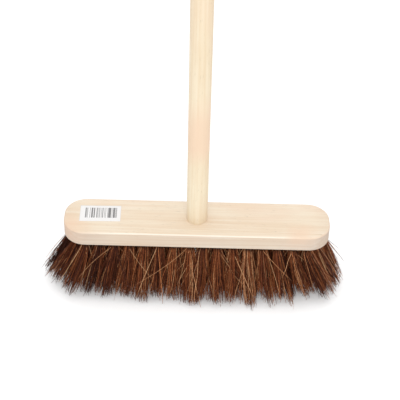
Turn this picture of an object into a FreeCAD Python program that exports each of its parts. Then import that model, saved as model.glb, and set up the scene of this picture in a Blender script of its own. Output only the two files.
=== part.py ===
import FreeCAD, Part
import math
import os

import Sketcher
from FreeCAD import Placement, Rotation, Vector

# A push broom with a 12 inch head. A flat wooden stock carries 80 tufts of stiff
# fibre in five staggered rows, each tuft folded over a wire staple at the bottom of
# a drilled hole. A plain round handle is driven square into a tapered socket in the
# top of the stock and held by one wire nail from behind.
#
# X runs along the stock, Y from front to rear, and Z up the handle. The origin is on
# the floor, in the plane of the trimmed tips, under the middle of the stock.

DRIVING_SIZES = (
    # The wooden stock
    ("stock_length", 305.0),
    ("stock_width", 60.0),
    ("stock_thickness", 19.0),
    ("stock_corner_radius", 25.0),
    ("stock_end_flat", 1.0),
    ("stock_top_edge_radius", 2.2),
    ("stock_bottom_edge_radius", 1.0),
    # The handle and its socket
    ("handle_diameter", 23.8),
    ("handle_length", 1219.0),
    ("handle_tip_rounding", 9.0),
    ("tenon_tip_diameter", 22.0),
    ("socket_floor", 3.0),
    ("socket_clearance", 0.05),
    # The nail that holds the handle
    ("nail_diameter", 2.65),
    ("nail_length", 38.0),
    ("nail_point_length", 4.0),
    ("nail_head_diameter", 5.5),
    ("nail_head_thickness", 1.2),
    ("nail_below_top", 8.5),
    # The tuft holes
    ("tuft_hole_diameter", 8.0),
    ("tuft_hole_depth", 12.0),
    ("tuft_pitch", 16.8),
    ("tuft_edge_distance", 7.0),
    ("tuft_socket_distance", 2.5),
    # The tufts
    ("bristle_length", 70.0),
    ("tuft_fit_clearance", 0.05),
    ("tuft_tip_gap", 2.0),
    ("tuft_row_lean", 8.0),
    ("tuft_end_lean", 29.6),
    # The staples
    ("staple_wire_diameter", 0.6),
    ("staple_side_gap", 1.5),
    ("staple_seat", 2.0),
    ("staple_cover", 3.0),
    # The paper label
    ("label_length", 47.0),
    ("label_width", 27.0),
    ("label_thickness", 0.12),
    ("label_end_distance", 41.2),
    ("label_behind_middle", 3.6),
    ("label_turn", 1.2),
)

ROWS = {-2: "front", -1: "inner_front", 0: "middle", 1: "inner_rear", 2: "rear"}
ZONES = ("left", "centre", "right")
# Places closer than this are the same place, and a cut takes at least this much wood.
SAME_PLACE = 0.01
SMALLEST_CUT = 1.0

doc = FreeCAD.newDocument("push_broom")
sheet = doc.addObject("Spreadsheet::Sheet", "Sizes")
for line, (alias, value) in enumerate(DRIVING_SIZES, start=1):
    sheet.set(f"A{line}", alias)
    sheet.set(f"B{line}", str(value))
    sheet.setAlias(f"B{line}", alias)
doc.recompute()


def size(formula):
    """The value of a formula in the sheet's names, in millimetres or degrees."""
    return float(sheet.evalExpression(formula))


# Sizes that follow from the driving ones
HANDLE_RADIUS = "Sizes.handle_diameter / 2"
TENON_TIP_RADIUS = "Sizes.tenon_tip_diameter / 2"
SOCKET_DEPTH = "Sizes.stock_thickness - Sizes.socket_floor"
STOCK_TOP = "Sizes.bristle_length + Sizes.stock_thickness"
CORNER_RADIUS = (
    "min(Sizes.stock_corner_radius; (Sizes.stock_width - Sizes.stock_end_flat) / 2)"
)
HOLE_RADIUS = "Sizes.tuft_hole_diameter / 2"
ROW_SPACING = "(Sizes.stock_width / 2 - Sizes.tuft_edge_distance) / 2"
# A tuft just fills its hole at the lowest point of the slanted mouth, and from there
# it flares until neighbours in a row stand a small gap apart at the tips.
MOUTH_SLANT = f"{HOLE_RADIUS} * tan(Sizes.tuft_end_lean * 1 deg)"
FITTED_LENGTH = f"(Sizes.tuft_hole_depth + {MOUTH_SLANT})"
FITTED_RADIUS = f"({HOLE_RADIUS} - Sizes.tuft_fit_clearance)"
TIP_RADIUS = "(Sizes.tuft_pitch - Sizes.tuft_tip_gap) / 2"
FLARE = f"(({TIP_RADIUS} - {FITTED_RADIUS}) / Sizes.bristle_length)"
# Before trimming, the most slanted bundle still reaches past the floor. The trimming
# plane reaches this far beyond the stock, which is more than any tuft leans.
BLANK_LENGTH = f"({FITTED_LENGTH} + 1.5 * Sizes.bristle_length)"
TRIMMING_MARGIN = "(2 * Sizes.bristle_length)"
# A staple's legs pass the bottom of the hole and stop short of the stock's top face.
STAPLE_WIDTH = (
    "(Sizes.tuft_hole_diameter - 2 * Sizes.staple_side_gap - Sizes.staple_wire_diameter)"
)
STAPLE_REACH = (
    "(Sizes.stock_thickness - Sizes.tuft_hole_depth - Sizes.staple_cover)"
)


def bind(thing, **formulas):
    """Ties properties of an object to the sheet; a double underscore stands for a dot."""
    for name, formula in formulas.items():
        thing.setExpression(name.replace("__", "."), formula)


def new_body(label):
    """An empty body whose label names its file."""
    body = doc.addObject("PartDesign::Body", label)
    body.Label = label
    return body


def new_sketch(body, name, plane):
    """An empty sketch of the body, on one of its own origin planes."""
    sketch = body.newObject("Sketcher::SketchObject", name)
    support = [p for p in body.Origin.OriginFeatures if p.Role == plane][0]
    sketch.AttachmentSupport = [(support, "")]
    sketch.MapMode = "FlatFace"
    return sketch


def pin(sketch, line, end, across, up):
    """Holds one end of a line, or a circle's centre, at a place given by two formulas."""
    for kind, axis, formula in (("DistanceX", -2, across), ("DistanceY", -1, up)):
        if formula == "0":
            sketch.addConstraint(Sketcher.Constraint("PointOnObject", line, end, axis))
            continue
        here = Sketcher.Constraint(kind, -1, 1, line, end, size(formula))
        number = sketch.addConstraint(here)
        sketch.setExpression(f"Constraints[{number}]", formula)


def draw_lines(sketch, corners, closed=True):
    """Draws straight lines from corner to corner, each corner pinned by its formulas."""
    points = [Vector(size(across), size(up), 0) for across, up in corners]
    ends = points[1:] + points[:1] if closed else points[1:]
    for start, end in zip(points, ends):
        sketch.addGeometry(Part.LineSegment(start, end))
    for line in range(1, len(ends)):
        join = Sketcher.Constraint("Coincident", line - 1, 2, line, 1)
        sketch.addConstraint(join)
    if closed:
        last = len(ends) - 1
        sketch.addConstraint(Sketcher.Constraint("Coincident", last, 2, 0, 1))
    for line, (across, up) in enumerate(corners[: len(ends)]):
        pin(sketch, line, 1, across, up)
    if not closed:
        pin(sketch, len(ends) - 1, 2, *corners[-1])


def draw_circle(sketch, across, up, diameter):
    """Draws one circle as an empty sketch's only line, its centre pinned by formulas."""
    centre = Vector(size(across), size(up), 0)
    sketch.addGeometry(Part.Circle(centre, Vector(0, 0, 1), size(diameter) / 2))
    pin(sketch, 0, 3, across, up)
    width = Sketcher.Constraint("Diameter", 0, size(diameter))
    number = sketch.addConstraint(width)
    sketch.setExpression(f"Constraints[{number}]", diameter)


def rectangle(length, width):
    """The four corners of a rectangle about the origin, as formulas."""
    right, rear = f"{length} / 2", f"{width} / 2"
    return ((f"-{right}", f"-{rear}"), (right, f"-{rear}"), (right, rear), (f"-{right}", rear))


def turn(body, sketch, name, kind="PartDesign::Revolution"):
    """Revolves a sketch of the XZ plane a full turn about Z."""
    feature = body.newObject(kind, name)
    feature.Profile = sketch
    feature.ReferenceAxis = (sketch, ["V_Axis"])
    feature.Angle = 360
    doc.recompute()
    return feature


def round_edges(body, name, base, chosen, radius):
    """Rounds the edges of a feature that the test picks."""
    edges = [f"Edge{i}" for i, edge in enumerate(base.Shape.Edges, start=1) if chosen(edge)]
    fillet = body.newObject("PartDesign::Fillet", name)
    fillet.Base = (base, edges)
    bind(fillet, Radius=radius)
    doc.recompute()
    return fillet


def lies_at(height):
    """A test for edges that lie in the horizontal plane at this height."""
    return lambda edge: all(abs(v.Z - height) < SAME_PLACE for v in edge.Vertexes) and (
        edge.BoundBox.ZLength < SAME_PLACE
    )


def stands(edge):
    """A test for upright edges."""
    return edge.BoundBox.ZLength > SAME_PLACE and edge.BoundBox.XLength < SAME_PLACE


# ---------------------------------------------------------------- the stock's blank
# Planed board with rounded corners. Its underside is the body's own zero height.
stock_blank = new_body("stock_blank")
plan = new_sketch(stock_blank, "stock_plan", "XY_Plane")
draw_lines(plan, rectangle("Sizes.stock_length", "Sizes.stock_width"))
board = stock_blank.newObject("PartDesign::Pad", "stock_board")
board.Profile = plan
bind(board, Length="Sizes.stock_thickness")
doc.recompute()
corners_rounded = round_edges(stock_blank, "corners", board, stands, CORNER_RADIUS)
top_eased = round_edges(
    stock_blank,
    "top_arris",
    corners_rounded,
    lies_at(size("Sizes.stock_thickness")),
    "Sizes.stock_top_edge_radius",
)
bottom_eased = round_edges(
    stock_blank, "bottom_arris", top_eased, lies_at(0), "Sizes.stock_bottom_edge_radius"
)
before_socket = bottom_eased.Shape.Volume
socket_profile = new_sketch(stock_blank, "socket_profile", "XZ_Plane")
draw_lines(
    socket_profile,
    (
        ("0", "Sizes.socket_floor"),
        (f"{TENON_TIP_RADIUS} + Sizes.socket_clearance", "Sizes.socket_floor"),
        (f"{HANDLE_RADIUS} + Sizes.socket_clearance", "Sizes.stock_thickness"),
        ("0", "Sizes.stock_thickness"),
    ),
)
socket = turn(stock_blank, socket_profile, "handle_socket", "PartDesign::Groove")
bind(stock_blank, Placement__Base__z="Sizes.bristle_length")
doc.recompute()
if socket.Shape.Volume > before_socket - SMALLEST_CUT:
    raise RuntimeError("the handle socket removed no wood")

# ---------------------------------------------------------------- the handle
# Turned round rod. Its foot is a short tenon that tapers to suit the socket.
turned_handle = new_body("turned_handle")
handle_profile = new_sketch(turned_handle, "handle_profile", "XZ_Plane")
draw_lines(
    handle_profile,
    (
        ("0", "0"),
        (TENON_TIP_RADIUS, "0"),
        (HANDLE_RADIUS, SOCKET_DEPTH),
        (HANDLE_RADIUS, "Sizes.handle_length"),
        ("0", "Sizes.handle_length"),
    ),
)
rod = turn(turned_handle, handle_profile, "handle_rod")
round_edges(
    turned_handle,
    "handle_tip",
    rod,
    lies_at(size("Sizes.handle_length")),
    "Sizes.handle_tip_rounding",
)
bind(turned_handle, Placement__Base__z="Sizes.bristle_length + Sizes.socket_floor")

# ---------------------------------------------------------------- the fixing nail
# Round wire nail with a flat head, driven in from the rear until the head is flush.
nail = new_body("handle_fixing_nail")
nail_profile = new_sketch(nail, "nail_profile", "XZ_Plane")
NAIL_RADIUS = "Sizes.nail_diameter / 2"
NAIL_HEAD_RADIUS = "Sizes.nail_head_diameter / 2"
NAIL_TAPER_START = "-(Sizes.nail_length - Sizes.nail_point_length)"
draw_lines(
    nail_profile,
    (
        ("0", "0"),
        ("0", "-Sizes.nail_length"),
        (NAIL_RADIUS, NAIL_TAPER_START),
        (NAIL_RADIUS, "-Sizes.nail_head_thickness"),
        (NAIL_HEAD_RADIUS, "-Sizes.nail_head_thickness"),
        (NAIL_HEAD_RADIUS, "0"),
    ),
)
turn(nail, nail_profile, "nail_wire")
nail.Placement = Placement(Vector(), Rotation(Vector(1, 0, 0), -90))
bind(
    nail,
    Placement__Base__y="Sizes.stock_width / 2",
    Placement__Base__z=f"{STOCK_TOP} - Sizes.nail_below_top",
)

# ---------------------------------------------------------------- the paper label
# One small sticker near the left end of the stock's top face, a little askew.
label = new_body("paper_label")
label_outline = new_sketch(label, "label_outline", "XY_Plane")
draw_lines(label_outline, rectangle("Sizes.label_length", "Sizes.label_width"))
paper = label.newObject("PartDesign::Pad", "label_paper")
paper.Profile = label_outline
bind(paper, Length="Sizes.label_thickness")
label.Placement = Placement(Vector(), Rotation(Vector(0, 0, 1), size("Sizes.label_turn")))
bind(
    label,
    Placement__Base__x="Sizes.label_end_distance - Sizes.stock_length / 2",
    Placement__Base__y="Sizes.label_behind_middle",
    Placement__Base__z=STOCK_TOP,
)

# ---------------------------------------------------------------- where the tufts go


def room_to_edge(x, y):
    """How far a point of the stock's plan lies inside its rounded outline."""
    corner = size(CORNER_RADIUS)
    beyond_x = abs(x) - (size("Sizes.stock_length / 2") - corner)
    beyond_y = abs(y) - (size("Sizes.stock_width / 2") - corner)
    outside = math.hypot(max(beyond_x, 0), max(beyond_y, 0))
    return corner - outside - min(max(beyond_x, beyond_y), 0)


def tuft_direction(x, row):
    """The way a tuft points: down, and outwards as its hole is slanted."""
    ends_share = x / size("Sizes.stock_length / 2")
    along = size("Sizes.tuft_end_lean") * ends_share * abs(ends_share)
    across = size("Sizes.tuft_row_lean") * row
    slope = Vector(math.tan(math.radians(along)), math.tan(math.radians(across)), -1)
    return slope.normalize()


def row_of_tufts(row):
    """Each tuft of a row, from the left, as the inner end of its hole and its direction."""
    pitch = size("Sizes.tuft_pitch")
    depth = size("Sizes.tuft_hole_depth")
    edge = size("Sizes.tuft_edge_distance")
    clear = size(f"{HANDLE_RADIUS} + {HOLE_RADIUS} + Sizes.tuft_socket_distance")
    stagger = 0.5 if row % 2 == 0 else 0
    steps = int(size("Sizes.stock_length") / 2 / pitch) + 1
    y = row * size(ROW_SPACING)
    found = []
    for step in range(-steps, steps + 1):
        x = (step + stagger) * pitch
        down = tuft_direction(x, row)
        inner_end = Vector(x, y, size("Sizes.bristle_length")) - down * depth
        on_stock = room_to_edge(x, y) > edge - SAME_PLACE
        if on_stock and math.hypot(inner_end.x, inner_end.y) > clear:
            found.append((inner_end, down))
    return found


def zone_of(inner_end):
    """Which third of the stock a tuft stands in."""
    third = size("Sizes.stock_length / 6")
    if inner_end.x < -third:
        return "left"
    return "right" if inner_end.x > third else "centre"


def compound(name, parts):
    """Several shapes as one, for a single cut."""
    group = doc.addObject("Part::Compound", name)
    group.Links = parts
    return group


def cut(name, base, tool):
    """A finished piece: the base without the tool."""
    piece = doc.addObject("Part::Cut", name)
    piece.Label = name
    piece.Base = base
    piece.Tool = tool
    return piece


tufts = {row: row_of_tufts(row) for row in ROWS}

# ---------------------------------------------------------------- the staples
# Round wire bent to a U. The pattern's own zero height is the bottom of a tuft hole:
# the crown lies below it, inside the fold of the tuft, and the legs point up.
staple = new_body("staple_pattern")
wire_section = new_sketch(staple, "staple_wire_section", "XY_Plane")
bind(wire_section, AttachmentOffset__Base__z=STAPLE_REACH)
draw_circle(wire_section, "0", f"-{STAPLE_WIDTH} / 2", "Sizes.staple_wire_diameter")
wire_path = new_sketch(staple, "staple_wire_path", "YZ_Plane")
draw_lines(
    wire_path,
    (
        (f"-{STAPLE_WIDTH} / 2", STAPLE_REACH),
        (f"-{STAPLE_WIDTH} / 2", "-Sizes.staple_seat"),
        (f"{STAPLE_WIDTH} / 2", "-Sizes.staple_seat"),
        (f"{STAPLE_WIDTH} / 2", STAPLE_REACH),
    ),
    closed=False,
)
wire = staple.newObject("PartDesign::AdditivePipe", "staple_wire")
wire.Profile = wire_section
wire.Spine = wire_path
wire.Transition = "Round corner"
doc.recompute()

staple_rows = {}
for row, row_name in ROWS.items():
    driven = []
    for inner_end, down in tufts[row]:
        one = staple.Shape.copy()
        one.Placement = Placement(inner_end, Rotation(Vector(0, 0, -1), down))
        driven.append(one)
    group = doc.addObject("Part::Feature", f"staples_{row_name}_row")
    group.Label = f"staples_{row_name}_row"
    group.Shape = Part.makeCompound(driven)
    group.Placement = Placement()
    staple_rows[row] = group

# ---------------------------------------------------------------- the finished stock
drills = []
for row in ROWS:
    for inner_end, down in tufts[row]:
        drill = doc.addObject("Part::Cylinder", "tuft_drill")
        bind(
            drill,
            Radius=HOLE_RADIUS,
            Height="Sizes.tuft_hole_depth + Sizes.tuft_hole_diameter",
        )
        drill.Placement = Placement(inner_end, Rotation(Vector(0, 0, 1), down))
        drills.append(drill)
drilled = cut("stock_drilled", stock_blank, compound("tuft_drills", drills))
stapled = cut("stock_stapled", drilled, compound("all_staples", list(staple_rows.values())))
stock = cut("broom_stock", stapled, nail)
handle = cut("broom_handle", turned_handle, nail)

# ---------------------------------------------------------------- the tufts
# Each tuft is a flaring bundle from the bottom of its hole, trimmed level at the
# floor and parted by the staple that it is folded over.
floor = doc.addObject("Part::Box", "trimming_plane")
bind(
    floor,
    Length=f"Sizes.stock_length + 2 * {TRIMMING_MARGIN}",
    Width=f"Sizes.stock_width + 2 * {TRIMMING_MARGIN}",
    Height="Sizes.bristle_length",
    Placement__Base__x=f"-(Sizes.stock_length / 2 + {TRIMMING_MARGIN})",
    Placement__Base__y=f"-(Sizes.stock_width / 2 + {TRIMMING_MARGIN})",
    Placement__Base__z="-Sizes.bristle_length",
)
tuft_nodes = []
for row, row_name in ROWS.items():
    parting = compound(f"parting_{row_name}_row", [floor, staple_rows[row]])
    for zone in ZONES:
        bundles = []
        for inner_end, down in tufts[row]:
            if zone_of(inner_end) != zone:
                continue
            bundle = doc.addObject("Part::Cone", "tuft_bundle")
            bind(
                bundle,
                Radius1=f"{FITTED_RADIUS} - {FLARE} * {FITTED_LENGTH}",
                Radius2=f"{FITTED_RADIUS} + {FLARE} * ({BLANK_LENGTH} - {FITTED_LENGTH})",
                Height=BLANK_LENGTH,
            )
            bundle.Placement = Placement(inner_end, Rotation(Vector(0, 0, 1), down))
            bundles.append(bundle)
        name = f"tufts_{row_name}_row_{zone}"
        tuft_nodes.append(cut(name, compound(f"{name}_bundles", bundles), parting))

# ---------------------------------------------------------------- checks and files
doc.recompute()
nodes = [stock, handle, nail, label, *tuft_nodes, *staple_rows.values()]
for thing in doc.Objects:
    if "Invalid" in thing.State or "Error" in thing.State:
        raise RuntimeError(f"{thing.Label} failed: {thing.State}")
for node in nodes:
    if node.Shape.isNull() or not node.Shape.isValid() or not node.Shape.Solids:
        raise RuntimeError(f"{node.Label} has no valid solid")

os.makedirs("parts", exist_ok=True)
for node in nodes:
    node.Shape.exportStep(f"parts/{node.Label}.step")
    box = node.Shape.optimalBoundingBox(False)
    print(
        f"{node.Label}: {len(node.Shape.Solids)} solids, {node.Shape.Volume:.0f} mm3,"
        f" x {box.XMin:.2f} to {box.XMax:.2f}, y {box.YMin:.2f} to {box.YMax:.2f},"
        f" z {box.ZMin:.2f} to {box.ZMax:.2f}"
    )
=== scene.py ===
import math

import bmesh
import bpy
import numpy as np
from mathutils import Matrix, Vector


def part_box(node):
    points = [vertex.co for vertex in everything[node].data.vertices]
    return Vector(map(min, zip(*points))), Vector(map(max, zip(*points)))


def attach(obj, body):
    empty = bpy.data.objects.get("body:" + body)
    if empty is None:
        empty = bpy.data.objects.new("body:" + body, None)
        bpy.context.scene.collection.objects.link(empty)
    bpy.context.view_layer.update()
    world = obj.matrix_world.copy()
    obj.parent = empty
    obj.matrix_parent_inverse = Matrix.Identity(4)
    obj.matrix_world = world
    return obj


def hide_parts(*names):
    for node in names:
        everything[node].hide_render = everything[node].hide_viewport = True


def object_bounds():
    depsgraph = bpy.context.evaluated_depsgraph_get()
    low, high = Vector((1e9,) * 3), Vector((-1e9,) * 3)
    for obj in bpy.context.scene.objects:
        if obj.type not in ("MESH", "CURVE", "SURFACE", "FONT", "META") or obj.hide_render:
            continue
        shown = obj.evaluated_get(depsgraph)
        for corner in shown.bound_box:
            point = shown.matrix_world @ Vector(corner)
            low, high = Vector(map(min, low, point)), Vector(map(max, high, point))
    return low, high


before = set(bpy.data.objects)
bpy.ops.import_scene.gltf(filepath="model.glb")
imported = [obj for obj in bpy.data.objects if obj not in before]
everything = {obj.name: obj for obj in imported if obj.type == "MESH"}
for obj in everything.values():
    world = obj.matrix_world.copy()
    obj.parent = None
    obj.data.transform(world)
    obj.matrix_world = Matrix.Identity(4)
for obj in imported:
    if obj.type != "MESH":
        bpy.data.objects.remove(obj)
cad_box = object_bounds()


# ------------------------------------------------------------------ the stock
# The head is one planed board of pale plantation hardwood with sanded, rounded
# ends. It is left bare, so the grain, the open pores and a painted shade on the
# sides are all that colours it.


def new_finish(name):
    """A fresh material with only its shader, and the shader itself."""
    finish = bpy.data.materials.new(name)
    finish.use_nodes = True
    return finish, finish.node_tree.nodes["Principled BSDF"]


def put(finish, kind, inputs=None, **settings):
    """Adds a node. Inputs are numbers, colours or the outputs of other nodes."""
    node = finish.node_tree.nodes.new("ShaderNode" + kind)
    for setting, value in settings.items():
        setattr(node, setting, value)
    for socket, value in (inputs or {}).items():
        if isinstance(value, bpy.types.NodeSocket):
            finish.node_tree.links.new(value, node.inputs[socket])
        else:
            node.inputs[socket].default_value = value
    return node


def join(finish, output, socket):
    finish.node_tree.links.new(output, socket)


def ramp(finish, factor, *stops):
    """A colour ramp from (place, colour) stops; a plain number stands for a grey."""
    node = put(finish, "ValToRGB", {0: factor})
    marks = node.color_ramp.elements
    while len(marks) < len(stops):
        marks.new(0.5)
    for mark, (place, colour) in zip(marks, stops):
        grey = isinstance(colour, (int, float))
        mark.position = place
        mark.color = (colour, colour, colour, 1) if grey else (*colour, 1)
    return node.outputs[0]


def blend_colours(finish, share, below, above, how="MIX"):
    """One colour laid over another by a share between 0 and 1."""
    node = put(finish, "Mix", {0: share, 6: below, 7: above}, data_type="RGBA")
    node.blend_type = how
    return node.outputs[2]


def calc(finish, operation, *values):
    """A sum on up to three numbers or outputs of other nodes."""
    return put(finish, "Math", dict(enumerate(values)), operation=operation).outputs[0]


def rise(finish, value, low, high, first, last):
    """Goes from the first number to the last while the value goes from low to high."""
    inputs = {"Value": value, "From Min": low, "From Max": high, "To Min": first, "To Max": last}
    return put(finish, "MapRange", inputs).outputs[0]


def noise(finish, place, scale, detail):
    """Cloudy noise at a place on the piece: its grey output, then its colour output."""
    inputs = {"Vector": place, "Scale": scale, "Detail": detail}
    return put(finish, "TexNoise", inputs).outputs


def stretched(finish, place, scale):
    """The place on a piece, scaled by axis so that a pattern is drawn out along it."""
    return put(finish, "Mapping", {"Vector": place, "Scale": scale}).outputs[0]


def tinted(colour, *shares):
    """A colour with each channel scaled by its own share."""
    return tuple(c * share for c, share in zip(colour, shares)) + (1,)


def wood_finish(name, along, pale, warm, ring_centre, ring_strength):
    """Bare sanded wood whose grain runs along one axis: 0 for X, 2 for Z.

    Gives the finish and its colour, which each piece adds its own marks to.
    """
    finish, shader = new_finish(name)
    place = put(finish, "TexCoord").outputs["Object"]

    def with_grain(across, lengthwise):
        scale = [across, across, across]
        scale[along] = lengthwise
        return stretched(finish, place, scale)

    # The growth rings run round the heart of the log and are drawn out along it.
    board = put(
        finish, "Mapping", {"Vector": place, "Location": ring_centre}, vector_type="TEXTURE",
    )
    squeeze = [1.0, 1.0, 1.0]
    squeeze[along] = 0.05
    log = stretched(finish, board.outputs[0], squeeze)
    wander = noise(finish, with_grain(16, 2.2), 1.0, 3.0)[1]
    sway = (0.014, 0.014, 0.014)
    bent = put(finish, "VectorMath", {0: wander, 1: sway, 2: log}, operation="MULTIPLY_ADD")
    rings = put(
        finish, "TexWave",
        {"Vector": bent.outputs[0], "Scale": 62.0, "Distortion": 0.9,
         "Detail": 2.0, "Detail Scale": 1.5},
        wave_type="RINGS", rings_direction="XYZ"[along], wave_profile="SAW",
    ).outputs[1]
    ring_share = ramp(
        finish, rings,
        (0.0, 0.0), (0.62, 0.15 * ring_strength), (0.90, ring_strength), (1.0, 0.0),
    )

    clouds = noise(finish, with_grain(26, 11), 1.0, 4.0)[0]
    flush = put(
        finish, "TexNoise",
        {"Vector": with_grain(19, 7), "W": 3.7, "Scale": 1.0, "Detail": 3.0},
        noise_dimensions="4D",
    ).outputs[0]
    streaks = noise(finish, with_grain(420, 9), 1.0, 3.0)[0]
    fibres = noise(finish, with_grain(2600, 60), 1.0, 2.0)[0]
    pores = noise(finish, with_grain(1500, 110), 1.0, 1.0)[0]
    flecks = noise(finish, with_grain(330, 90), 1.0, 1.0)[0]
    pore_share = ramp(finish, pores, (0.24, 0.55), (0.31, 0.0))

    rosy = tinted(warm[:3], 1.0, 0.93, 0.93)
    late_wood = tinted(warm[:3], 0.93, 0.88, 0.82)
    bright = tinted(pale[:3], 1.06, 1.12, 1.2)
    open_pore = tinted(warm[:3], 0.62, 0.62, 0.62)
    tone = pale
    for share, colour in (
        (ramp(finish, clouds, (0.38, 0), (0.62, 1)), warm),
        (ramp(finish, flush, (0.50, 0.0), (0.68, 0.85)), rosy),
        (ring_share, late_wood),
        (ramp(finish, streaks, (0.30, 0.5), (0.52, 0.0)), late_wood),
        (ramp(finish, streaks, (0.55, 0.0), (0.80, 0.5)), bright),
        (pore_share, open_pore),
        (ramp(finish, flecks, (0.17, 0.7), (0.22, 0.0)), open_pore),
    ):
        tone = blend_colours(finish, share, tone, colour)

    join(finish, ramp(finish, streaks, (0.2, 0.66), (0.8, 0.54)), shader.inputs["Roughness"])
    shader.inputs["Specular IOR Level"].default_value = 0.25
    raised = calc(finish, "MULTIPLY_ADD", fibres, 0.5, pore_share)
    raised = calc(finish, "MULTIPLY_ADD", streaks, 0.8, raised)
    bump = put(finish, "Bump", {"Height": raised, "Distance": 0.00012, "Strength": 0.35})
    join(finish, bump.outputs[0], shader.inputs["Normal"])
    return finish, tone


def colour_with(finish, tone):
    """Sets the finished colour of a piece on its shader."""
    join(finish, tone, finish.node_tree.nodes["Principled BSDF"].inputs["Base Color"])


stock = everything["broom_stock"]
STOCK_LOW, STOCK_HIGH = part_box("broom_stock")
stock_wood, stock_tone = wood_finish(
    "stock_wood",
    along=0,
    pale=(0.815, 0.715, 0.575, 1),
    warm=(0.780, 0.645, 0.495, 1),
    ring_centre=(0.0, 0.021, 0.035),
    ring_strength=0.6,
)
stock_place = put(stock_wood, "TexCoord").outputs["Object"]
facing = put(stock_wood, "SeparateXYZ", {0: put(stock_wood, "NewGeometry").outputs["Normal"]})
lengthwise = put(stock_wood, "SeparateXYZ", {0: stock_place}).outputs[0]
from_middle = calc(stock_wood, "ABSOLUTE", lengthwise)
facing_end = calc(stock_wood, "ABSOLUTE", facing.outputs[0])
facing_up = facing.outputs[2]

# Painted shade: the sawn sides are painted a shade darker and greyer than the planed
# top. Top and sides both turn a little darker towards the ends, the sides more so.
side = rise(stock_wood, facing_up, 0.45, 0.15, 0.0, 1.0)
darker_towards_ends = rise(stock_wood, from_middle, 0.135, 0.160, 0.0, 1.0)
sides_darker_towards_ends = calc(stock_wood, "MULTIPLY", rise(stock_wood, from_middle, 0.09, 0.15, 0.0, 1.0), side)
for share, colour in (
    # painted shade on the sides, set by which way each face looks
    (side, (0.87, 0.855, 0.87, 1)),
    (darker_towards_ends, (0.95, 0.935, 0.94, 1)),
    (sides_darker_towards_ends, (0.88, 0.885, 0.93, 1)),
):
    stock_tone = blend_colours(stock_wood, share, stock_tone, colour, "MULTIPLY")

# Across the ends the grain is cut through, so the wood is darker and pitted there.
cut_through = rise(stock_wood, facing_end, 0.35, 0.95, 0.0, 1.0)
pits = put(stock_wood, "TexVoronoi", {"Vector": stock_place, "Scale": 1700.0}).outputs[0]
pitted = ramp(stock_wood, pits, (0.12, 0.85), (0.34, 0.25))
end_grain = calc(stock_wood, "MULTIPLY", cut_through, pitted)
stock_tone = blend_colours(stock_wood, end_grain, stock_tone, (0.56, 0.40, 0.27, 1))

# The eased top arris carries a painted highlight along the middle and is browner round the ends.
arris = ramp(stock_wood, facing_up, (0.25, 0), (0.50, 1), (0.86, 1), (0.975, 0))
for share, colour in (
    # painted highlight along the arris, fading out towards the ends
    (rise(stock_wood, from_middle, 0.085, 0.130, 0.62, 0.0), (0.93, 0.87, 0.77, 1)),
    (rise(stock_wood, from_middle, 0.105, 0.140, 0.0, 0.55), (0.74, 0.57, 0.44, 1)),
):
    share = calc(stock_wood, "MULTIPLY", arris, share)
    stock_tone = blend_colours(stock_wood, share, stock_tone, colour)

# Two rosy stains of heartwood come through near the front, one towards each end.
ragged = noise(stock_wood, stock_place, 60.0, 4.0)[0]
for stain in ((0.120, -0.024, 0.087), (-0.142, -0.016, 0.085)):
    away = put(stock_wood, "VectorMath", {0: stock_place, 1: stain}, operation="DISTANCE")
    reach = calc(stock_wood, "MULTIPLY_ADD", ragged, 0.030, away.outputs["Value"])
    share = ramp(stock_wood, reach, (0.016, 0.5), (0.038, 0.0))
    stock_tone = blend_colours(stock_wood, share, stock_tone, (0.80, 0.56, 0.40, 1))
colour_with(stock_wood, stock_tone)
stock.material_slots[0].material = stock_wood


# ------------------------------------------------------------------ the handle
# A four foot stick turned from the same pale wood, its grain along its length. Its
# tapered foot is driven square into the stock, and its top end is rounded over.

handle = everything["broom_handle"]
handle_wood, handle_tone = wood_finish(
    "handle_wood",
    along=2,
    pale=(0.820, 0.718, 0.540, 1),
    warm=(0.785, 0.655, 0.472, 1),
    ring_centre=(0.019, 0.014, 0.0),
    ring_strength=0.22,
)
# A rosy patch of heartwood with a soft edge shows on the lower part of the stick.
handle_place = put(handle_wood, "TexCoord").outputs["Object"]
height = put(handle_wood, "SeparateXYZ", {0: handle_place}).outputs[2]
uneven = noise(handle_wood, stretched(handle_wood, handle_place, (30.0, 30.0, 9.0)), 1.0, 3.0)[0]
patch = ramp(
    handle_wood, calc(handle_wood, "MULTIPLY_ADD", uneven, 0.16, height),
    (0.23, 0.0), (0.275, 0.85), (0.315, 0.8), (0.365, 0.0),
)
handle_tone = blend_colours(handle_wood, patch, handle_tone, (0.80, 0.60, 0.44, 1))
colour_with(handle_wood, handle_tone)
handle.material_slots[0].material = handle_wood


# ------------------------------------------------------------------ the nail and staples
# Bright drawn wire: one nail through the back of the stock into the handle's foot,
# and a small bent staple at the bottom of every tuft hole.


def wire_finish(name, colour, draw_axis):
    """Drawn steel wire with fine lines along it and a few dull spots."""
    finish, shader = new_finish(name)
    place = put(finish, "TexCoord").outputs["Object"]
    scale = [5200.0, 5200.0, 5200.0]
    scale[draw_axis] = 500.0
    drawn = noise(finish, stretched(finish, place, scale), 1.0, 2.0)[0]
    spots = noise(finish, place, 900.0, 3.0)[0]
    dull = tinted(colour[:3], 0.55, 0.55, 0.55)
    share = ramp(finish, spots, (0.48, 0.0), (0.66, 0.8))
    colour_with(finish, blend_colours(finish, share, colour, dull))
    join(finish, ramp(finish, drawn, (0.3, 0.26), (0.7, 0.46)), shader.inputs["Roughness"])
    shader.inputs["Metallic"].default_value = 1.0
    bump = put(finish, "Bump", {"Height": drawn, "Distance": 0.00003, "Strength": 0.5})
    join(finish, bump.outputs[0], shader.inputs["Normal"])
    return finish


nail = everything["handle_fixing_nail"]
nail.material_slots[0].material = wire_finish("nail_steel", (0.60, 0.59, 0.57, 1), 1)

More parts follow.
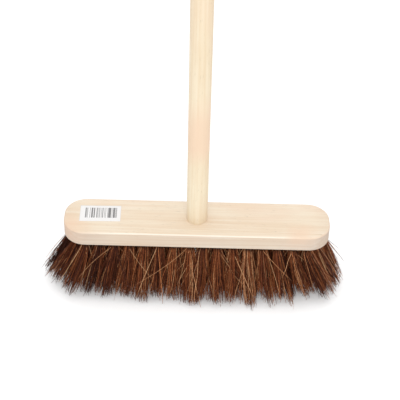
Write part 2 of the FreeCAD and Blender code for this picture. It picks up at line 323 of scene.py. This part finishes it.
ROWS = ("front", "inner_front", "middle", "inner_rear", "rear")
staple_wire = wire_finish("staple_wire", (0.55, 0.55, 0.56, 1), 2)
for row in ROWS:
    staples = everything[f"staples_{row}_row"]
    staples.material_slots[0].material = staple_wire


# ------------------------------------------------------------------ the bristle tufts
# Eighty bundles of stiff reddish-brown palm fibre. Each bundle is folded in two over
# its staple, so its fibres leave the hole as two halves, and then they flare, bend
# and gather into ragged points that are trimmed roughly level at the floor.

UNDERSIDE = STOCK_LOW.z
FOLDED_FIBRES = 94  # in each tuft, so it has twice as many free ends
FIBRE_RADIUS = 0.00036
FREE_RINGS = 9  # rings of points along each free half of a fibre
FOLD_RINGS = 3  # and over its staple
SIDES = 3
MOUTH_RADIUS = 0.0039  # of a tuft at its hole
FLARE_RADIUS = 0.0125  # and at its tips
TIP_ROOM = 0.0003  # between the lowest tips and the floor
MOST_BEYOND = 0.0110  # how far tips may pass the CAD tufts


def tuft_axes(node):
    """The inner end and the tip centre of each tuft that a CAD node holds, from the left."""
    corners = np.array([v.co for v in everything[node].data.vertices])

    def centres(found, gap):
        found = found[np.argsort(found[:, 0])]
        gaps = np.flatnonzero(np.diff(found[:, 0]) > gap) + 1
        return [(g.min(0) + g.max(0)) / 2 for g in np.split(found, gaps)]

    inner = centres(corners[corners[:, 2] > UNDERSIDE + 0.004], 0.004)
    tips = centres(corners[corners[:, 2] < 0.0001], 0.0016)
    if len(inner) != len(tips):
        raise ValueError(f"{node}: {len(inner)} roots and {len(tips)} tips")
    return list(zip(inner, tips))


def unit(vectors):
    return vectors / np.linalg.norm(vectors, axis=-1, keepdims=True)


def tuft_frame(inner, tip):
    """One tuft's hole mouth and its own three directions: down, across and behind."""
    down = unit(tip - inner)
    behind = unit(np.cross(down, np.array([1.0, 0, 0])))
    behind = behind if behind[1] > 0 else -behind
    across = np.cross(behind, down)
    across = across if across[0] > 0 else -across
    mouth = inner + down * ((inner[2] - UNDERSIDE) / -down[2])
    return dict(inner=inner, mouth=mouth, down=down, across=across, behind=behind)


LOCK_SCATTER = (0.0034, 0.0020)
STRAND_SCATTER = 0.0022


def gather_strands(chance):
    """The pointed strands a tuft's tips cling into: where, how short and of what tone."""
    locks = chance.integers(4, 7)
    angle = chance.uniform(0, 2 * math.pi) + np.arange(locks) * 2 * math.pi / locks
    out = FLARE_RADIUS * chance.uniform(0.3, 1.1, locks)
    place = np.stack([np.cos(angle) * out, np.sin(angle) * out], axis=1)
    place += chance.normal(0, 1, (locks, 2)) * LOCK_SCATTER
    short = chance.exponential(0.0022, locks)
    members = chance.integers(3, 6, locks)
    place = np.repeat(place, members, axis=0)
    place = place + chance.normal(0, STRAND_SCATTER, place.shape)
    short = np.repeat(short, members) + chance.exponential(0.0014, len(place))
    return place, short, chance.normal(0, 0.14, len(place))


FIBRE_SCATTER = 0.0021
BOW = 0.0016
WAVE = 0.00055
WAVES = 1.8  # from the hole to the tip
MOST_SHORT = 0.020
STRAY_SHARE = 0.16
STRAY_WANDER = (0.0100, 0.0060)
STRAY_SHORT = 0.007
SPRUNG_SWING = (0.020, 0.052)
SPRUNG_FORWARDS = 0.006
SPRUNG_UP = (0.004, 0.03)


def legs_of(tuft, fan, chance):
    """One half of a tuft's fibres, from the hole's mouth to the tips, and their tones."""
    mouth, down, across, behind = tuft["mouth"], tuft["down"], tuft["across"], tuft["behind"]
    places, shorts, tones = tuft["strands"]
    count = len(fan)
    reach = np.linspace(0, 1, FREE_RINGS)[None, :, None]
    flared = fan * FLARE_RADIUS * chance.uniform(0.6, 1.1, (count, 1))
    near = flared + chance.normal(0, 0.0020, (count, 2))
    strand = np.argmin(np.linalg.norm(near[:, None] - places[None], axis=2), axis=1)
    draw = chance.random(count)
    stray = draw < STRAY_SHARE
    sprung = draw < tuft["loose"]

    # Sideways places are pairs: across the tuft and behind it. Most fibres cling to their
    # strand, strays wander off, and a few sprung ones swing right across the others.
    hold = np.where(stray, 0.0, chance.uniform(0.2, 0.9, count))[:, None]
    cling = (places[strand] - flared) * hold
    own_way = flared + chance.normal(0, FIBRE_SCATTER, (count, 2)) + tuft["set"]
    wander = chance.normal(0, 1, (count, 2)) * STRAY_WANDER * tuft["astray"]
    own_way += np.where(stray[:, None], wander, 0)
    swing = chance.uniform(*SPRUNG_SWING, count) * chance.choice((-1, 1), count)
    forwards = np.full(count, -SPRUNG_FORWARDS)
    own_way += np.where(sprung[:, None], np.stack([swing, forwards], axis=1), 0)

    start = fan * MOUTH_RADIUS
    bow = chance.normal(0, BOW, (count, 2))
    wave = chance.normal(0, WAVE, (count, 2))
    phase = chance.uniform(0, 2 * math.pi, (count, 1, 1))
    spread = fan * (FLARE_RADIUS - MOUTH_RADIUS)
    side = (
        start[:, None] + spread[:, None] * reach**0.75 + tuft["crowd"] * reach**0.45
        + (own_way - start - spread)[:, None] * reach**1.15
        + cling[:, None] * reach**2.6
        + bow[:, None] * np.sin(math.pi * reach) * reach**0.4
        + wave[:, None] * (np.sin(2 * WAVES * math.pi * reach + phase) - np.sin(phase)) * reach
    )

    short = chance.exponential(0.0016, count) + shorts[strand] + tuft["short"]
    short += np.where(stray, chance.uniform(0, STRAY_SHORT, count), 0)
    sprung_up = np.where(sprung, chance.uniform(*SPRUNG_UP, count), 0)
    high = TIP_ROOM + np.minimum(short, MOST_SHORT) + sprung_up
    tip_side = side[:, -1, :1] * across + side[:, -1, 1:] * behind
    long = (high - mouth[2] - tip_side[:, 2]) / down[2]
    line = (
        mouth + down * (reach * long[:, None, None])
        + side[..., :1] * across + side[..., 1:] * behind
    )
    beyond = np.abs(line[:, -1, :2]) - (np.array(cad_box[1][:2]) + MOST_BEYOND)
    inward = np.maximum(beyond, 0)[:, None] * reach**2
    line[..., :2] -= np.sign(line[..., :2]) * inward
    own = chance.normal(0.40, 0.23, count) + tones[strand] + tuft["tone"]
    pale = sprung | stray & (chance.random(count) < 0.3)
    own = np.where(pale, chance.uniform(0.8, 1.0, count), own)
    return line, np.clip(own, 0, 1)


def folded_over(tuft, fan, chance):
    """The hidden bend of each fibre over the crown of its staple."""
    count = len(fan)
    turn = np.linspace(-math.pi / 2, math.pi / 2, FOLD_RINGS + 2)[None, 1:-1]
    layer = (0.0004 + 0.0013 * chance.random(count))[:, None]
    sideways = -np.sin(turn) * layer
    upward = np.cos(turn) * layer
    crown = tuft["inner"] + tuft["down"] * 0.0020
    place = fan[:, 1:] * 0.0017
    return (
        crown + sideways[..., None] * tuft["across"] - upward[..., None] * tuft["down"]
        + place[:, None] * tuft["behind"]
    )


def tube_rings(lines, radius):
    """Rings of points round many lines at once: fibre, ring, side, place."""
    ahead = unit(np.gradient(lines, axis=1))
    aside = unit(np.cross(ahead, np.array([0.31, 0.94, 0.12])))
    beyond = np.cross(ahead, aside)
    turn = np.linspace(0, 2 * math.pi, SIDES, endpoint=False)
    ring = (
        np.cos(turn)[:, None] * aside[:, :, None] + np.sin(turn)[:, None] * beyond[:, :, None]
    )
    return lines[:, :, None] + ring * radius[:, :, None, None]


def fibre_map(fibres, count):
    """A place on the bake map for each corner: a cell for each fibre, tip to tip upwards."""
    cells = math.ceil(math.sqrt(fibres))
    cell = np.stack(np.divmod(np.arange(fibres), cells), axis=-1)[:, None, None, None]
    side = np.arange(SIDES)[None, :, None] + np.array([0, 1, 1, 0])
    ring = np.arange(count - 1)[:, None, None] + np.array([0, 0, 1, 1])
    side, ring = np.broadcast_arrays(side / SIDES, ring / (count - 1))
    walls = np.stack([0.15 + 0.7 * side, 0.15 + 0.8 * ring], axis=-1)
    walls = (cell + walls[None]).reshape(-1, 2)
    corner = np.array([(0.2, 0.03), (0.8, 0.03), (0.5, 0.12)])
    caps = (cell[:, 0, 0] + corner).reshape(-1, 2)
    return np.concatenate([walls, caps, caps]) / cells


def fibre_mesh(name, lines, radius, tones, reach):
    """One mesh of closed thin tubes, with each fibre's tone and reach on its points."""
    rings = tube_rings(lines, radius)
    fibres, count = rings.shape[:2]
    points = rings.reshape(-1, 3)
    first = (np.arange(fibres) * count * SIDES)[:, None, None]
    ring = first + (np.arange(count - 1) * SIDES)[None, :, None]
    here, beside = ring + np.arange(SIDES), ring + np.roll(np.arange(SIDES), -1)
    walls = np.stack([here, beside, beside + SIDES, here + SIDES], axis=-1).reshape(-1, 4)
    near = first[:, 0] + np.arange(SIDES)[::-1]
    far = first[:, 0] + (count - 1) * SIDES + np.arange(SIDES)
    mesh = bpy.data.meshes.new(name)
    mesh.from_pydata(points.tolist(), [], walls.tolist() + near.tolist() + far.tolist())
    mesh.shade_smooth()
    for title, values in (("fibre_tone", tones), ("fibre_reach", reach)):
        spread = np.repeat(values.astype(np.float32).ravel(), SIDES)
        mesh.attributes.new(title, "FLOAT", "POINT").data.foreach_set("value", spread)
    laid_out = mesh.uv_layers.new(name="OFBake", do_init=False)
    laid_out.uv.foreach_set("vector", fibre_map(fibres, count).astype(np.float32).ravel())
    return mesh


OUTER_ROW = 0.023
WORN_FROM = 0.09
WORN_LENGTH = 0.05
LEFT_OUT, LEFT_FORWARDS = 0.0088, 0.0025
RIGHT_OUT, RIGHT_DRAWN_IN = 0.0170, 0.0042
CORNER_IN, CORNER_SHORT = 0.0065, 0.0075
MIDDLE_FORWARDS = 0.006
CLOSED_IN, STEEP = 0.0045, 0.0060


def worn(tuft, chance):
    """Gives a tuft the set that use has put in it.

    The right end is squared off, and the left end leans out and forwards. The four
    corners are cut shorter, and the tufts in the middle are pushed forwards. Those
    beside the handle close in over the gap in the rows, and the end tufts leave
    their holes steeply. The fibres are darkest at the left end.
    """
    place, back = tuft["mouth"][:2]
    outward = np.sign(place)
    depth = back / OUTER_ROW
    end = min(max((abs(place) - WORN_FROM) / WORN_LENGTH, 0), 1)
    if place < 0:
        lean = (0.0006 - LEFT_OUT * math.exp(-((depth + 0.55) / 0.5) ** 2), -LEFT_FORWARDS)
    else:
        lean = (RIGHT_OUT * abs(depth) - RIGHT_DRAWN_IN, 0.0)
    tuft["set"] = end * np.array(lean)
    pushed = math.exp(-((place - 0.02) / 0.05) ** 2)
    tuft["set"][1] -= CORNER_IN * end * depth + MIDDLE_FORWARDS * pushed
    beside_handle = math.exp(-(place / 0.014) ** 2)
    tuft["crowd"] = np.array([-outward * (CLOSED_IN * beside_handle + STEEP * end), 0.0])
    tuft["astray"] = 1 - 0.5 * end
    tuft["short"] = chance.exponential(0.0016) + CORNER_SHORT * end * abs(depth)
    tuft["tone"] = chance.normal(0, 0.04) + 0.07 * math.exp(-(place / 0.04) ** 2)
    tuft["tone"] -= 0.36 * min(max(-place / 0.15, 0), 1) ** 2


LOOSE_WITHIN = 0.11


def tuft_fibres(node, loose, chance):
    """Every fibre of one group of tufts: centre lines, radii, tones and reach."""
    lines, radii, tones, reaches = [], [], [], []
    out = np.linspace(0, 1, FREE_RINGS)
    reach = np.concatenate([out[::-1], np.zeros(FOLD_RINGS), out])
    for inner, tip in tuft_axes(node):
        tuft = tuft_frame(inner, tip)
        worn(tuft, chance)
        tuft["strands"] = gather_strands(chance)
        tuft["loose"] = loose if abs(tuft["mouth"][0]) < LOOSE_WITHIN else 0
        turn = chance.uniform(-0.5, 0.5, FOLDED_FIBRES) * math.pi
        wide = np.sqrt(chance.random(FOLDED_FIBRES))
        fan = np.stack([np.cos(turn) * wide, np.sin(turn) * wide], axis=1)
        right, right_tone = legs_of(tuft, fan, chance)
        left, left_tone = legs_of(tuft, fan * (-1, 1), chance)
        bend = folded_over(tuft, fan, chance)
        lines.append(np.concatenate([right[:, ::-1], bend, left], axis=1))
        reaches.append(np.tile(reach, (FOLDED_FIBRES, 1)))
        thick = FIBRE_RADIUS * chance.uniform(0.5, 1.5, (FOLDED_FIBRES, 1))
        radii.append(thick * (1 - 0.55 * reach[None] ** 4))
        middle = (right_tone + left_tone)[:, None] / 2
        tones.append(np.concatenate([
            np.repeat(right_tone[:, None], FREE_RINGS, axis=1),
            np.repeat(middle, FOLD_RINGS, axis=1),
            np.repeat(left_tone[:, None], FREE_RINGS, axis=1),
        ], axis=1))
    return [np.concatenate(x) for x in (lines, radii, tones, reaches)]


def bristle_finish():
    """Waxy plant fibre, red-brown to tan from fibre to fibre; the root is dark with painted shade
    and dirt.
    """
    finish, shader = new_finish("bristle_fibre")
    tone = put(finish, "Attribute", attribute_name="fibre_tone").outputs["Fac"]
    reach = put(finish, "Attribute", attribute_name="fibre_reach").outputs["Fac"]
    colour = ramp(
        finish, tone,
        (0.0, (0.042, 0.010, 0.005)),
        (0.25, (0.110, 0.027, 0.011)),
        (0.50, (0.285, 0.080, 0.026)),
        (0.75, (0.490, 0.170, 0.060)),
        (1.0, (0.790, 0.450, 0.235)),
    )
    place = put(finish, "TexCoord").outputs["Object"]
    fleck = noise(finish, stretched(finish, place, (900.0, 900.0, 300.0)), 1.0, 2.0)[0]
    for share, over in (
        (ramp(finish, fleck, (0.35, 0.55), (0.6, 0.0)), (0.045, 0.014, 0.008, 1)),
        # painted shade at the roots under the stock, with some dirt and pitch from the holes
        (ramp(finish, reach, (0.03, 0.95), (0.11, 0.0)), (0.022, 0.008, 0.004, 1)),
        (ramp(finish, reach, (0.82, 0.0), (1.0, 0.35)), (0.12, 0.065, 0.045, 1)),
    ):
        colour = blend_colours(finish, share, colour, over)
    colour_with(finish, colour)
    join(finish, ramp(finish, fleck, (0.3, 0.66), (0.7, 0.50)), shader.inputs["Roughness"])
    shader.inputs["Specular IOR Level"].default_value = 0.12
    return finish


bristle_fibre = bristle_finish()
for row_number, row in enumerate(ROWS):
    for zone_number, zone in enumerate(("left", "centre", "right")):
        node = f"tufts_{row}_row_{zone}"
        chance = np.random.default_rng(100 + 10 * row_number + zone_number)
        loose = 0.008 if row == "front" else 0.001
        name = f"bristles_{row}_row_{zone}"
        bristles = bpy.data.objects.new(name, fibre_mesh(name, *tuft_fibres(node, loose, chance)))
        bpy.context.collection.objects.link(bristles)
        bristles.data.materials.append(bristle_fibre)
        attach(bristles, "root")
        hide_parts(node)


# ------------------------------------------------------------------ the paper label
# A small white sticker near the left end of the stock, printed with plain black bars
# and stuck on by hand, so it sits slightly askew.

LABEL_LENGTH = 0.047
LABEL_WIDTH = 0.027
LABEL_TURN = math.radians(1.2)
LABEL_STEPS = (48, 28)
LABEL_LIFT = 0.0016
PAPER = 0.00011

low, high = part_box("paper_label")
label_middle = (low + high) / 2
label_middle.z = low.z


def label_mesh():
    """A thin closed sheet with lightly lifted corners, mapped end to end for the print."""
    mesh = bmesh.new()
    across, up = LABEL_STEPS
    turned = Matrix.Rotation(LABEL_TURN, 3, "Z")
    sheets = []
    for level in (PAPER, 0.0):
        sheet = []
        for j in range(up + 1):
            for i in range(across + 1):
                u, v = i / across, j / up
                corner = max(0, abs(2 * u - 1) + abs(2 * v - 1) * 0.8 - 1.55)
                flat = Vector(((u - 0.5) * LABEL_LENGTH, (v - 0.5) * LABEL_WIDTH, 0))
                lift = LABEL_LIFT * corner**2 * (0.4 + 0.6 * u * v)
                spot = label_middle + turned @ flat + Vector((0, 0, level + lift))
                sheet.append(mesh.verts.new(spot))
        sheets.append(sheet)
    printed = mesh.loops.layers.uv.new("label_print")

    def face(corners):
        made = mesh.faces.new([sheets[s][j * (across + 1) + i] for s, i, j in corners])
        made.smooth = True
        for loop, (s, i, j) in zip(made.loops, corners):
            loop[printed].uv = (i / across, j / up)

    for j in range(up):
        for i in range(across):
            face([(0, i, j), (0, i + 1, j), (0, i + 1, j + 1), (0, i, j + 1)])
            face([(1, i, j + 1), (1, i + 1, j + 1), (1, i + 1, j), (1, i, j)])
    for i in range(across):
        face([(1, i, 0), (1, i + 1, 0), (0, i + 1, 0), (0, i, 0)])
        face([(0, i, up), (0, i + 1, up), (1, i + 1, up), (1, i, up)])
    for j in range(up):
        face([(0, 0, j), (0, 0, j + 1), (1, 0, j + 1), (1, 0, j)])
        face([(1, across, j), (1, across, j + 1), (0, across, j + 1), (0, across, j)])
    made = bpy.data.meshes.new("paper_sticker")
    mesh.to_mesh(made)
    mesh.free()
    return made


def label_finish():
    """White paper with a block of plain bars of mixed widths, and no figures."""
    finish, shader = new_finish("label_paper")
    where = put(finish, "UVMap", uv_map="label_print").outputs[0]
    parts = put(finish, "SeparateXYZ", {0: where})
    u, v = parts.outputs[0], parts.outputs[1]

    def both(one, other):
        return calc(finish, "MULTIPLY", one, other)

    def between(value, low, high):
        above = calc(finish, "GREATER_THAN", value, low)
        return both(above, calc(finish, "LESS_THAN", value, high))

    bars_across = 104
    number = calc(finish, "FLOOR", calc(finish, "MULTIPLY", u, bars_across))
    random = put(finish, "TexWhiteNoise", {"W": number}, noise_dimensions="1D").outputs[0]
    bars = calc(finish, "GREATER_THAN", random, 0.47)
    ink = both(bars, both(between(u, 0.13, 0.90), between(v, 0.22, 0.86)))
    smudge = noise(finish, where, 60.0, 3.0)[0]
    ink = both(ink, ramp(finish, smudge, (0.3, 0.55), (0.6, 0.9)))
    fibre = noise(finish, where, 180.0, 4.0)[0]
    paper = ramp(finish, fibre, (0.3, (0.79, 0.775, 0.765)), (0.7, (0.84, 0.825, 0.815)))
    colour_with(finish, blend_colours(finish, ink, paper, (0.035, 0.033, 0.035, 1)))
    shader.inputs["Roughness"].default_value = 0.48
    bump = put(finish, "Bump", {"Height": fibre, "Distance": 0.00002, "Strength": 0.3})
    join(finish, bump.outputs[0], shader.inputs["Normal"])
    return finish


label = bpy.data.objects.new("label_sticker", label_mesh())
bpy.context.collection.objects.link(label)
label.data.materials.append(label_finish())
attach(label, "root")
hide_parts("paper_label")


# ------------------------------------------------------------------ the studio
# A wide pale floor under soft light from above and in front, and a long lens that
# looks down on the head.

FLOOR_HALF = 40.0

floor_mesh = bmesh.new()
bmesh.ops.create_grid(floor_mesh, x_segments=4, y_segments=4, size=FLOOR_HALF)
floor_data = bpy.data.meshes.new("studio_floor")
floor_mesh.to_mesh(floor_data)
floor_mesh.free()
floor = bpy.data.objects.new("studio_floor", floor_data)
bpy.context.collection.objects.link(floor)
floor_paint, floor_shader = new_finish("floor_paint")
floor_shader.inputs["Base Color"].default_value = (0.95, 0.95, 0.95, 1)
floor_shader.inputs["Roughness"].default_value = 0.9
floor_shader.inputs["Emission Color"].default_value = (1, 1, 1, 1)
floor_shader.inputs["Emission Strength"].default_value = 0.12
floor_shader.inputs["Specular IOR Level"].default_value = 0.1
floor.data.materials.append(floor_paint)

# The air lights everything evenly, and looks as bright as the far floor, so that the
# two meet without a line.
AIR_LIGHT = 0.80
AIR_SEEN = 0.877

scene = bpy.context.scene
scene.view_settings.view_transform = "Standard"
studio = bpy.data.worlds.new("studio_air")
studio.use_nodes = True
air = studio.node_tree.nodes["Background"]
air.inputs["Color"].default_value = (1.0, 1.0, 1.0, 1)
seen = put(studio, "LightPath").outputs["Is Camera Ray"]
join(studio, rise(studio, seen, 0.0, 1.0, AIR_LIGHT, AIR_SEEN), air.inputs["Strength"])
scene.world = studio


def soft_light(name, power, size, place, aim):
    """A square softbox that faces the point it is aimed at."""
    data = bpy.data.lights.new(name, "AREA")
    data.energy = power
    data.size = size
    lamp = bpy.data.objects.new(name, data)
    bpy.context.collection.objects.link(lamp)
    lamp.location = place
    lamp.rotation_mode = "QUATERNION"
    lamp.rotation_quaternion = (Vector(aim) - Vector(place)).to_track_quat("-Z", "Y")


HEAD_TOP = STOCK_HIGH.z
soft_light("overhead_light", power=18.0, size=2.4, place=(0.0, 0.2, 2.6), aim=(0, 0.2, 0))
soft_light("key_light", power=15.5, size=1.2, place=(0.08, -1.8, 1.7), aim=(0, 0, HEAD_TOP))

LENS = 102.8
LOOK_DOWN = math.radians(40.5)
LEAN = math.radians(1.5)
DISTANCE = 1.312
RIGHT_OF_HEAD = 0.0029
ABOVE_HEAD = 0.0207

camera_data = bpy.data.cameras.new("camera")
camera_data.lens = LENS
camera_data.sensor_width = 36.0
camera_data.clip_start = 0.05
camera = bpy.data.objects.new("camera", camera_data)
bpy.context.collection.objects.link(camera)
tilt = Matrix.Rotation(math.pi / 2 - LOOK_DOWN, 4, "X")
back = Vector((0, -math.cos(LOOK_DOWN), math.sin(LOOK_DOWN))) * DISTANCE
up = tilt @ Vector((0, ABOVE_HEAD, 0))
place = Vector((RIGHT_OF_HEAD, 0, HEAD_TOP)) + back + up
camera.matrix_world = Matrix.Translation(place) @ tilt @ Matrix.Rotation(LEAN, 4, "Z")
scene.camera = camera
